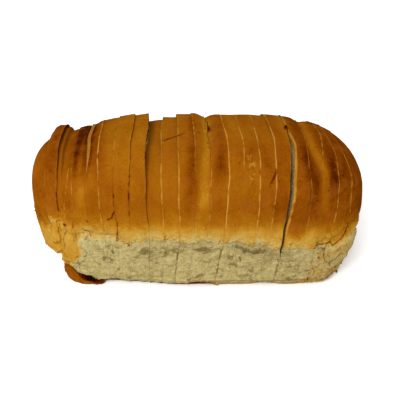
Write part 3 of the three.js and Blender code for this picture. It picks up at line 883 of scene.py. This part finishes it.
def dress_skin(skin, thickness, shares, piece, seams):
    """The skin with its relief, and what its colour is made of.

    bake: how brown the crust is. crumb: where it is torn away. rim: pale cut crust, and painted highlight
    on blisters. dark: cracks, and painted shade in gaps, hollows, crevices, under the lip and at the right
    end."""
    x, _, z = axes_of(skin)
    normal = normals_of(skin)
    ground = divide(skin, piece)
    standing, foot, bare, right_corner = ground.standing, ground.foot, ground.bare, ground.right_corner
    patchy = ease(cloud(skin, (8, 8, 6), 65), 0.1, 0.3)
    torn, knobs = torn_corner(skin)
    flap, hollow, shadow = flap_and_hollow(skin, standing)
    crumb = crumb_share(skin, ground, patchy) * (1 - np.maximum(flap, hollow))
    bake = baked(skin, ground, piece)
    bake = mix(bake, 0.34 - 0.13 * ease(knobs, 0.05, 0.5) + 0.05 * cloud(skin, 5, 60), torn)
    bake = mix(bake, 0.68 + 0.1 * cloud(skin, 3, 68), np.maximum(flap, hollow))

    dress = Dress(skin)
    # Painted shadow in the hollow over the flap and on the flap under it, and painted shade on the bare wall
    # at the right corner.
    dress.darken(shadow)
    dress.darken(0.34 * right_corner * bare)
    from_left = shares[:, None] * thickness
    from_right = (1 - shares[:, None]) * thickness
    for side, distance, seam in ((-1, from_left, seams[0]), (1, from_right, seams[1])):
        if seam is not None:
            dress_cut(dress, skin, ground, distance, seam, side)
    blister(dress, skin)
    if piece.name == "slice_05":  # its left edge stands up over the crease
        strip = 0.7 + 2.3 * ease(z, 98, 110)
        dress.brighten(0.5 * (1 - ease(from_left, 0.7 * strip, strip)) * ease(z, 92, 99))

    rough = np.maximum(ground.open_wall, torn)
    rough = np.maximum(rough, bare * right_corner)
    height, crevice = wall_relief(skin)
    knobbly = torn * (1.6 * np.minimum(knobs, 0.5) - 0.5)
    relief = mix(crust_relief(skin), height, rough * (1 - 0.8 * torn)) + knobbly
    dress.darken(0.9 * torn * (1 - ease(knobs, 0.01, 0.11)))
    # Painted shade in the crevices, chips and hollows of the torn wall.
    dress.darken(ground.open_wall * crevice * foot * (1 - hollow) * (1 - 0.2 * right_corner))
    broken_up = ease(patchy + cloud(skin, 7, 97), -0.2, 0.5)
    dress.darken(1.1 * right_corner * bare * broken_up * (1 - ease(knobs, 0.01, 0.1)))
    # Darker along the brown line at the foot on the left half, and painted shade in the groove over the base
    # crust.
    in_groove = 0.8 * bump((z - GROOVE) / 0.8) * ease(x, -20, 10)
    at_foot = (1 - foot) * (0.9 - 0.7 * ease(x, 0, 20)) + in_groove
    dress.darken(standing * ground.open_wall * at_foot * (1 - hollow) * (1 - flap))
    relief, spots = add_flakes(dress, skin, ground, relief, rough)
    bake = bake + spots
    relief = recess(dress, skin, ground, relief)
    if standing:  # the base crust stands out a little at the foot
        relief = relief + (0.9 * bump(z / 4) - 0.8 * bump((z - GROOVE) / 0.9)) * (1 - hollow) * (1 - flap)

    dressed = skin + normal * ((relief - dress.sunk) * stillness(skin, piece))[..., None]
    dressed += torn_away(skin) * ((1 - flap) * standing)[..., None]
    if piece.name == "heel_left":  # it is torn off aslant
        dressed[..., 0] += 1.6 * (1 - ease(z, 30, 58)) * ease(-x, 106, 120)
    dressed[..., 2] = np.maximum(dressed[..., 2], 0)
    dressed[..., 0] += dress.close
    dressed[..., 1] += dress.level_up
    return dressed, Looks(bake, crumb, np.clip(dress.rim, 0, MOST_RIM), np.clip(dress.dark, 0, MOST_DARK))


# --- Base and cut faces ---


def base_of(skin, piece):
    """Inner points of the underside (rings by points), evenly between the two feet. A standing piece's
    base only has shallow dents, and a hanging one's is torn."""
    share = np.linspace(0, 1, TOP_STEPS + 1)[1:-1, None]
    base = mix(skin[:, :1], skin[:, -1:], share)
    if piece.hangs:
        torn = 1.3 * cloud(base, 6, 71) - 1.2 * pores(base, 4, 74, 0.5)
        base[..., 2] += torn * (1 - ease(base[..., 2] - piece.hangs, 0.5, 3))
    else:
        base[..., 2] += 0.25 * np.clip(cloud(base, 4, 77), 0, 1)
    return base


def coons(bottom, top, start, end):
    """Points inside four edges (a Coons patch): both ways of ruling between facing edges are added, and
    the blend of the four corners is taken away. bottom and top run the same way, as do start and end."""
    v = np.linspace(0, 1, len(start))[:, None, None]
    u = np.linspace(0, 1, len(bottom))[None, :, None]
    ruled = mix(bottom[None], top[None], v) + mix(start[:, None], end[:, None], u)
    corners = mix(mix(bottom[0], bottom[-1], u), mix(top[0], top[-1], u), v)
    return ruled - corners


def edges_of(ring, base):
    """The bottom, top, start and end edges of a cut face, from its ring and the base between its feet."""
    bottom = np.concatenate([ring[:1], base, ring[-1:]])
    top = ring[SIDE_STEPS:SIDE_STEPS + TOP_STEPS + 1]
    return bottom, top, ring[:SIDE_STEPS + 1], ring[:-SIDE_STEPS - 2:-1]


def cut_face(ring, base, cut, inward, bared):
    """The cut face inside one end ring: its inner points at every second station, pushed in where the
    crumb has pores. Up to the height called bared, where no piece stands next to it, it is torn. Also how
    deep each point lies under the crust, which point of the ring is nearest, and where it is cut."""
    inner = coons(*edges_of(ring, base))[2:-2:2, 2:-2:2]
    inner[..., 0] = cut_at(cut, inner[..., 1], inner[..., 2])
    outline = np.concatenate([ring, base])
    far = np.linalg.norm(inner[:, :, None, 1:] - outline[None, None, :, 1:], axis=-1)
    nearest = far.argmin(axis=-1)
    depth = far.min(axis=-1)
    holes = 0.9 * pores(inner, 5.2, 81, 0.55) + 0.55 * pores(inner, 2.9, 87, 0.5)
    grain = 0.18 * np.abs(cloud(inner, 2.4, 91))
    torn = bared * (1 - ease(inner[..., 2], bared - 2, bared + 2)) / max(bared, 1)
    lumps = torn * (1 + 0.9 * cloud(inner, 8, 93) + 0.5 * cloud(inner, 3, 96))
    inner[..., 0] += inward * ease(depth, 0.8, 3) * (holes + grain + lumps)
    return inner, depth, nearest, 1 - torn


def face_looks(inner, depth, edge_bake, edge_crumb, scorch, in_gap):
    """The looks of a cut face: like the nearest crust at its edge, and crumb further in. Next to the crust
    it is darkened by painted shade where the next piece stands lower. In the gap in the loaf it is pale
    crust next to the skin and crumb further in, which comes slowly, and painted shade darkens it deep
    inside."""
    if in_gap:
        bake, inside, dark = 0.2, mix(0.1, 0.9, ease(depth, 3, 12)), 0.9 * ease(depth, 13, 22)
    else:
        bake, inside = edge_bake * 0.8, 1
        dark = scorch * (1 - ease(depth, 5, 9)) * ease(inner[..., 2], 60, 90)
    return Looks(bake, mix(edge_crumb, inside, ease(depth, 2.2, 5)), 0, dark)


def grid_faces(ids, turned):
    """Four-sided faces between the rows and columns of a grid of vertex numbers."""
    faces = np.stack([ids[:-1, :-1], ids[1:, :-1], ids[1:, 1:], ids[:-1, 1:]], axis=-1).reshape(-1, 4)
    return faces[:, ::-1] if turned else faces


def border_faces(edge, inner, turned):
    """Faces between an edge and the row next to it, which has a point for every second one of the edge,
    from the third to the last but two. The first and last face reach into the corner."""
    faces = np.stack([edge[2:-4:2], edge[3:-3:2], edge[4:-2:2], inner[1:], inner[:-1]], axis=-1)
    return faces[:, ::-1] if turned else faces


def corner_face(edge, other, inner, turned):
    """The six-sided face at a corner, where two edges start at the same vertex."""
    face = np.array([[other[2], other[1], edge[0], edge[1], edge[2], inner]])
    return face[:, ::-1] if turned else face


def cap_faces(ring_ids, base_ids, inner_ids, turned):
    """All the faces of one cut face: the grid of its inner points, four borders and four corners."""
    bottom, top, start, end = edges_of(ring_ids, base_ids)
    return [
        grid_faces(inner_ids, turned),
        border_faces(bottom, inner_ids[0], turned),
        border_faces(top, inner_ids[-1], not turned),
        border_faces(start, inner_ids[:, 0], not turned),
        border_faces(end, inner_ids[:, -1], turned),
        corner_face(bottom, start, inner_ids[0, 0], turned),
        corner_face(bottom[::-1], end, inner_ids[0, -1], not turned),
        corner_face(top, start[::-1], inner_ids[-1, 0], not turned),
        corner_face(top[::-1], end[::-1], inner_ids[-1, -1], turned),
    ]


def without_repeats(faces):
    """The faces in which no vertex comes twice, and the triangles left of those where one does."""
    repeated = faces == np.roll(faces, 1, axis=1)
    whole = faces[~repeated.any(axis=1)]
    once = faces[repeated.sum(axis=1) == 1]
    keep = ~repeated[repeated.sum(axis=1) == 1]
    return [whole, once[keep].reshape(-1, 3)]


def make_mesh(name, points, faces, attributes):
    """A mesh in metres from points in millimetres, groups of faces of one size each, and attributes. Faces
    of more than four sides are flat, so the rim between skin and cut face stays crisp."""
    mesh = bpy.data.meshes.new(name)
    mesh.vertices.add(len(points))
    mesh.vertices.foreach_set("co", (points * MM).astype(np.float32).ravel())
    faces = [group for group in faces if len(group)]
    corners = np.concatenate([group.ravel() for group in faces]).astype(np.int32)
    sizes = np.concatenate([np.full(len(group), group.shape[1]) for group in faces])
    mesh.loops.add(len(corners))
    mesh.loops.foreach_set("vertex_index", corners)
    mesh.polygons.add(len(sizes))
    mesh.polygons.foreach_set("loop_start", np.concatenate([[0], np.cumsum(sizes)[:-1]]).astype(np.int32))
    mesh.polygons.foreach_set("use_smooth", sizes <= 4)
    for key, values in attributes.items():
        attribute = mesh.attributes.new(key, "FLOAT", "POINT")
        attribute.data.foreach_set("value", values.astype(np.float32))
    mesh.update(calc_edges=True)
    mesh.validate()
    return mesh


class Parts:
    """The parts of a mesh as they are added: their points, and the looks of each point."""

    def __init__(self):
        self.points = []
        self.count = 0
        self.values = {key: [] for key in (*Looks._fields, "cut")}

    def add(self, points, looks, cut=0):
        """Adds a grid of points with their looks, and returns the numbers that they have in the mesh."""
        shape = points.shape[:-1]
        ids = np.arange(math.prod(shape)).reshape(shape) + self.count
        self.count += ids.size
        self.points.append(points.reshape(-1, 3))
        for values, value in zip(self.values.values(), (*looks, cut)):
            values.append(np.broadcast_to(value, shape).ravel())
        return ids

    def mesh(self, name, faces):
        """All the parts as one mesh."""
        attributes = {key: np.concatenate(values) for key, values in self.values.items()}
        return make_mesh(name, np.concatenate(self.points), faces, attributes)


def piece_mesh(piece, left, right, seams):
    """The closed mesh of one piece: skin, base and the cut faces that it has."""
    shares = ring_shares(piece, left, right)
    skin, thickness = skin_of(piece, left, right, shares)
    skin, looks = dress_skin(skin, thickness, shares, piece, seams)
    base = base_of(skin, piece)
    pole = {"heel_left": 0, "heel_right": -1}.get(piece.name)
    if pole is not None:  # the last ring is one point
        skin[pole] = base[pole] = skin[pole, 0]
    up = ease(base[..., 2] - piece.hangs, 1, 3)  # on a heel, part of the end is closed by the base's grid
    base_crumb = mix(1.0 if piece.hangs else 0.0, looks.crumb[:, :1], up)
    base_looks = Looks(mix(0.62, looks.bake[:, :1], up), base_crumb, 0, looks.dark[:, :1] * up)
    parts = Parts()
    skin_ids = parts.add(skin, looks)
    base_ids = parts.add(base, base_looks)
    if pole is not None:
        skin_ids[pole] = base_ids[pole] = skin_ids[pole, 0]
    under = np.concatenate([skin_ids[:, :1], base_ids, skin_ids[:, -1:]], axis=1)
    faces = without_repeats(grid_faces(skin_ids, False)) + without_repeats(grid_faces(under, True))
    for ring, cut, inward in ((0, left, 1), (-1, right, -1)):
        if ring == pole:
            continue
        # The right cut face gets the piece's painted shade next to the crust.
        scorch = 0 if ring == 0 else piece.scorch
        bared = seams[0].owner.hangs if ring == 0 and not piece.hangs else 0
        in_gap = ring == 0 and seams[0].owner.gap > 1
        inner, depth, nearest, is_cut = cut_face(skin[ring], base[ring], cut, inward, bared)
        edge_bake = np.concatenate([looks.bake[ring], base_looks.bake[ring]])[nearest]
        edge_crumb = np.concatenate([looks.crumb[ring], base_looks.crumb[ring]])[nearest]
        cut_looks = face_looks(inner, depth, edge_bake, edge_crumb, scorch, in_gap)
        inner_ids = parts.add(inner, cut_looks, is_cut)
        faces += cap_faces(skin_ids[ring], base_ids[ring], inner_ids, ring == -1)
    return parts.mesh(piece.name, faces)


# --- Materials ---


class Value:
    """A shader socket that can be added, taken away, multiplied and divided like a number."""

    def __init__(self, paint, socket):
        self.paint = paint
        self.socket = socket

    def maths(self, operation, first, second):
        return self.paint.add("Math", {"operation": operation}, {0: first, 1: second})

    def __add__(self, other):
        return self.maths("ADD", self, other)

    def __sub__(self, other):
        return self.maths("SUBTRACT", self, other)

    def __rsub__(self, other):
        return self.maths("SUBTRACT", other, self)

    def __mul__(self, other):
        return self.maths("MULTIPLY", self, other)

    __radd__ = __add__
    __rmul__ = __mul__


class Paint:
    """A material being mixed: every node is added by one method."""

    def __init__(self, name):
        self.material = bpy.data.materials.new(name)
        self.material.use_nodes = True
        self.tree = self.material.node_tree
        self.tree.nodes.clear()

    def add(self, kind, settings=None, sockets=None, output=0):
        """A node of a kind, with its settings, then its sockets' values or links; returns one output."""
        node = self.tree.nodes.new("ShaderNode" + kind)
        for key, value in (settings or {}).items():
            if key == "stops":
                self.set_stops(node.color_ramp, value)
            else:
                setattr(node, key, value)
        for key, value in (sockets or {}).items():
            if isinstance(value, Value):
                self.tree.links.new(value.socket, node.inputs[key])
            else:
                node.inputs[key].default_value = value
        return Value(self, node.outputs[output]) if node.outputs else None

    @staticmethod
    def set_stops(ramp, stops):
        """Gives a colour ramp its stops: pairs of a place and a colour."""
        while len(ramp.elements) > 1:
            ramp.elements.remove(ramp.elements[-1])
        ramp.elements[0].position, ramp.elements[0].color = stops[0]
        for place, colour in stops[1:]:
            ramp.elements.new(place).color = colour

    def attribute(self, name):
        return self.add("Attribute", {"attribute_name": name}, output=2)

    def noise(self, where, size, detail=2.0, roughness=0.5):
        """Cloudy noise from 0 to 1, with clouds as wide as size in millimetres."""
        inputs = {"Vector": where, "Scale": 1 / (size * MM), "Detail": detail, "Roughness": roughness}
        return self.add("TexNoise", {}, inputs)

    def step(self, value, low, high):
        """0 below low, 1 above high, smooth between."""
        return self.add("MapRange", {"interpolation_type": "SMOOTHSTEP"},
                        {"Value": value, "From Min": low, "From Max": high})

    def blend(self, share, first, second):
        """The colour at a share of the way from the first to the second."""
        return self.add("Mix", {"data_type": "RGBA"}, {0: share, 6: first, 7: second}, output=2)


def linear(red, green, blue, gain=1.0):
    """A colour given as it shows on a screen, as a surface colour under a light of that strength."""
    channels = [channel / 255 for channel in (red, green, blue)]
    lit = [c / 12.92 if c <= 0.04045 else ((c + 0.055) / 1.055) ** 2.4 for c in channels]
    return (*(min(c / gain, 1) for c in lit), 1)


# How much brighter than its own colour bread shows on the crown, on the wall and on the face of a cut.
LIGHT_ON_CROWN = 1.8
LIGHT_ON_WALL = 1.74
# On the face of a cut the gain is low, so its crumb is painted brighter: painted light in the narrow gap.
LIGHT_ON_CUT = 1.1

# Crust, from barely baked to scorched, as it looks in the light.
BAKED = [
    (0.0, (214, 192, 128)), (0.07, (208, 172, 90)), (0.16, (202, 156, 62)), (0.24, (196, 142, 46)),
    (0.34, (184, 124, 27)), (0.46, (170, 106, 14)), (0.58, (160, 93, 10)), (0.68, (149, 81, 6)),
    (0.78, (134, 67, 3)), (0.9, (110, 49, 1)), (1.0, (80, 28, 0)),
]


RUDDY = linear(163, 87, 22, LIGHT_ON_CROWN)
CUT_CRUST = linear(204, 142, 50, LIGHT_ON_CROWN)
CRACK_AND_SHADE = linear(106, 36, 8, LIGHT_ON_CROWN)
DEEP_CRACK_AND_SHADOW = linear(36, 12, 2, LIGHT_ON_CROWN)
DARK_CRUMB = linear(170, 150, 90, LIGHT_ON_WALL)
PALE_CRUMB = linear(207, 190, 131, LIGHT_ON_WALL)
PAINTED_PIT_SHADE = linear(134, 110, 58, LIGHT_ON_WALL)
# The crumb of a cut face: its own pale colour, made brighter still as painted light, since little light
# reaches the face in the narrow gap.
CUT_CRUMB_WITH_PAINTED_LIGHT = linear(226, 206, 152, LIGHT_ON_CUT)
PAINTED_CRUMB_SHADE = linear(120, 98, 48, LIGHT_ON_WALL)
PAINTED_CUT_SHADE = linear(104, 50, 14, LIGHT_ON_WALL)
MATT = {"Specular IOR Level": 0.0}


def bread_paint(name, satin):
    """Crust with torn and cut crumb. Brownness, tears, pale rims with painted highlights, and the dark of
    cracks and painted shade are the mesh's own attributes, broken up by fine noise. The crumb gets painted
    shade in its pits, and the crumb of a cut face is painted brighter. The bump is fine skin on the crust,
    and open grain on the crumb."""
    paint = Paint(name)
    place = paint.add("TexCoord", output=3)
    bake = paint.attribute("bake")
    torn = paint.attribute("crumb")
    rim = paint.attribute("rim")
    dark = paint.attribute("dark")
    cut = paint.attribute("cut")

    blotches = paint.noise(place, 5.5, 4.0, 0.6)
    specks = paint.noise(place, 1.1, 2.0, 0.6)
    spots = paint.noise(place, 1.7, 1.0, 0.5)
    brown = bake + (blotches - 0.5) * 0.2 + (specks - 0.5) * 0.24
    brown = brown + paint.step(spots, 0.66, 0.76) * 0.18 - paint.step(spots, 0.36, 0.26) * 0.1
    stops = [(spot, linear(*colour, LIGHT_ON_CROWN)) for spot, colour in BAKED]
    crust = paint.add("ValToRGB", {"stops": stops}, {"Fac": brown})
    ruddy = paint.step(paint.noise(place, 10.0, 2.0), 0.45, 0.7) * paint.step(bake, 0.4, 0.55) * 0.4
    crust = paint.blend(ruddy, crust, RUDDY)
    crust = paint.blend(paint.step(rim + (specks - 0.5) * 0.5, 0.1, 0.8), crust, CUT_CRUST)
    # The dark attribute darkens the crust for cracks and for painted shade: in cut gaps, crevices, under the
    # lip and at the right end, and near black as painted shadow in the hollow over the flap and in a hole.
    crust = paint.blend(paint.step(dark, 0.2, 1.0), crust, CRACK_AND_SHADE)
    crust = paint.blend(paint.step(dark, 1.0, 1.3), crust, DEEP_CRACK_AND_SHADOW)

    grain = paint.noise(place, 0.9, 3.0, 0.65)
    clumps = paint.noise(place, 4.2, 3.0, 0.55)
    tone = paint.step(clumps * 0.4 + grain * 0.6, 0.36, 0.62)
    crumb = paint.blend(tone, DARK_CRUMB, PALE_CRUMB)
    # Painted shade in the crumb's small pits, which the bump also sinks.
    pits = paint.step(paint.noise(place, 1.6, 2.0, 0.6), 0.36, 0.28) * 0.55
    crumb = paint.blend(pits, crumb, PAINTED_PIT_SHADE)
    crumb = paint.blend(cut, crumb, CUT_CRUMB_WITH_PAINTED_LIGHT)
    # Painted shade on the crumb: on the wall in crevices, hollows and under the lip, and on the face of a
    # cut where it lies in shade.
    shadow = paint.blend(cut, PAINTED_CRUMB_SHADE, PAINTED_CUT_SHADE)
    crumb = paint.blend(paint.step(dark, 0.1, 1.2), crumb, shadow)

    edge = paint.step(torn + (specks - 0.5) * 0.3, 0.2, 0.8)
    colour = paint.blend(edge, crust, crumb)
    skin_height = (specks - 0.5) * 0.05 + (paint.noise(place, 0.5, 2.0) - 0.5) * 0.04
    crumb_height = (grain - 0.5) * 0.55 + (clumps - 0.5) * 0.25 - pits * 0.5
    height = skin_height * (1 - edge) + crumb_height * edge
    normal = paint.add("Bump", {}, {"Strength": 0.8, "Distance": 1.0 * MM, "Height": height})
    roughness = edge * (0.95 - satin) + satin
    looks = {"Base Color": colour, "Roughness": roughness, "Normal": normal}
    shader = paint.add("BsdfPrincipled", {}, looks | MATT)
    paint.add("OutputMaterial", {}, {"Surface": shader})
    return paint.material


def plain_paint(name, colour, roughness):
    """An even matt colour, for the floor."""
    paint = Paint(name)
    looks = {"Base Color": (*colour, 1), "Roughness": roughness}
    shader = paint.add("BsdfPrincipled", {}, looks | MATT)
    paint.add("OutputMaterial", {}, {"Surface": shader})
    return paint.material


# --- The scene ---

CAMERA_PLACE = (-22.5, -414.7, 280.1)
CAMERA_PITCH = 29  # degrees below level
CAMERA_LENS = 51.3
CAMERA_SENSOR = 36  # its width, in millimetres as the lens
CAMERA_SHIFT = 0.08

FLOOR_HALF = 5.0  # metres
FLOOR_LEVEL = -0.0002
FLOOR_WHITE = (0.92, 0.92, 0.92)

KEY_PLACE = (-0.8, -1.5, 1.4)
KEY_SIZE = 0.9
KEY_POWER = 44
LIT_LEVEL = 0.06  # height that the light is turned towards


def add_camera():
    """The camera, looking along +Y and down, with the loaf a little to the right of its axis."""
    data = bpy.data.cameras.new("camera")
    data.lens = CAMERA_LENS
    data.sensor_width = CAMERA_SENSOR
    data.shift_x = CAMERA_SHIFT
    data.clip_start = 0.01
    data.clip_end = 20
    camera = bpy.data.objects.new("camera", data)
    camera.location = [part * MM for part in CAMERA_PLACE]
    camera.rotation_euler = (math.radians(90 - CAMERA_PITCH), 0, 0)
    bpy.context.scene.collection.objects.link(camera)
    bpy.context.scene.camera = camera


def add_floor():
    """A plain pale floor, just under the base."""
    mesh = bpy.data.meshes.new("floor")
    sides = ((-1, -1), (1, -1), (1, 1), (-1, 1))
    corners = [(x * FLOOR_HALF, y * FLOOR_HALF, FLOOR_LEVEL) for x, y in sides]
    mesh.from_pydata(corners, [], [(0, 1, 2, 3)])
    mesh.materials.append(plain_paint("floor_white", FLOOR_WHITE, 0.9))
    floor = bpy.data.objects.new("floor", mesh)
    bpy.context.scene.collection.objects.link(floor)


def add_light(name, place, size, power):
    """A square soft light in metres, turned towards the loaf."""
    data = bpy.data.lights.new(name, "AREA")
    data.shape = "SQUARE"
    data.size = size
    data.energy = power
    light = bpy.data.objects.new(name, data)
    x, y, z = place
    light.location = place
    flat = math.hypot(x, y)
    light.rotation_euler = (math.atan2(flat, z - LIT_LEVEL), 0, math.atan2(y, x) + math.pi / 2)
    bpy.context.scene.collection.objects.link(light)


def add_sky():
    """Even white light from all round."""
    world = bpy.data.worlds.new("studio")
    bpy.context.scene.world = world
    world.use_nodes = True
    inputs = world.node_tree.nodes["Background"].inputs
    inputs["Color"].default_value = (1, 1, 1, 1)
    inputs["Strength"].default_value = 1.0
    bpy.context.scene.view_settings.view_transform = "Standard"


def seam_after(number, side):
    """The seam on the right of a piece, seen from its left (side 1) or its right (side -1); none past the
    ends of the loaf."""
    if number < 0 or number + 1 >= len(PIECES):
        return None
    step = (PIECES[number].forward - PIECES[number + 1].forward) / 2 * side
    return Seam(PIECES[number], cuts[number][1], cuts[number + 1][0], step)


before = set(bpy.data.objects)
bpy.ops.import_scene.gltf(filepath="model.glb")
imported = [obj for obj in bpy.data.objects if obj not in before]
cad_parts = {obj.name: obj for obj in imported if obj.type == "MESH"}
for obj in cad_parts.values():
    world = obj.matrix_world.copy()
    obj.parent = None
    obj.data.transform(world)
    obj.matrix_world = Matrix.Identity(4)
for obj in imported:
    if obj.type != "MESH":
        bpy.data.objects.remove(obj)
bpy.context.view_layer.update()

finishes = {
    "heel_crust": bread_paint("heel_crust", 0.55),
    "sliced_bread": bread_paint("sliced_bread", 0.5),
}
cuts = cuts_of(PIECES)
for number, (piece, (left, right)) in enumerate(zip(PIECES, cuts)):
    slot = "heel_crust" if piece.name in HEELS else "sliced_bread"
    mesh = piece_mesh(piece, left, right, (seam_after(number - 1, -1), seam_after(number, 1)))
    mesh.materials.append(finishes[slot])
    bread = bpy.data.objects.new("bread_" + piece.name, mesh)
    bpy.context.scene.collection.objects.link(bread)
    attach(bread, "root")
    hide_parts(piece.name)

add_camera()
add_floor()
add_sky()
add_light("key", KEY_PLACE, KEY_SIZE, KEY_POWER)

bpy.context.view_layer.update()
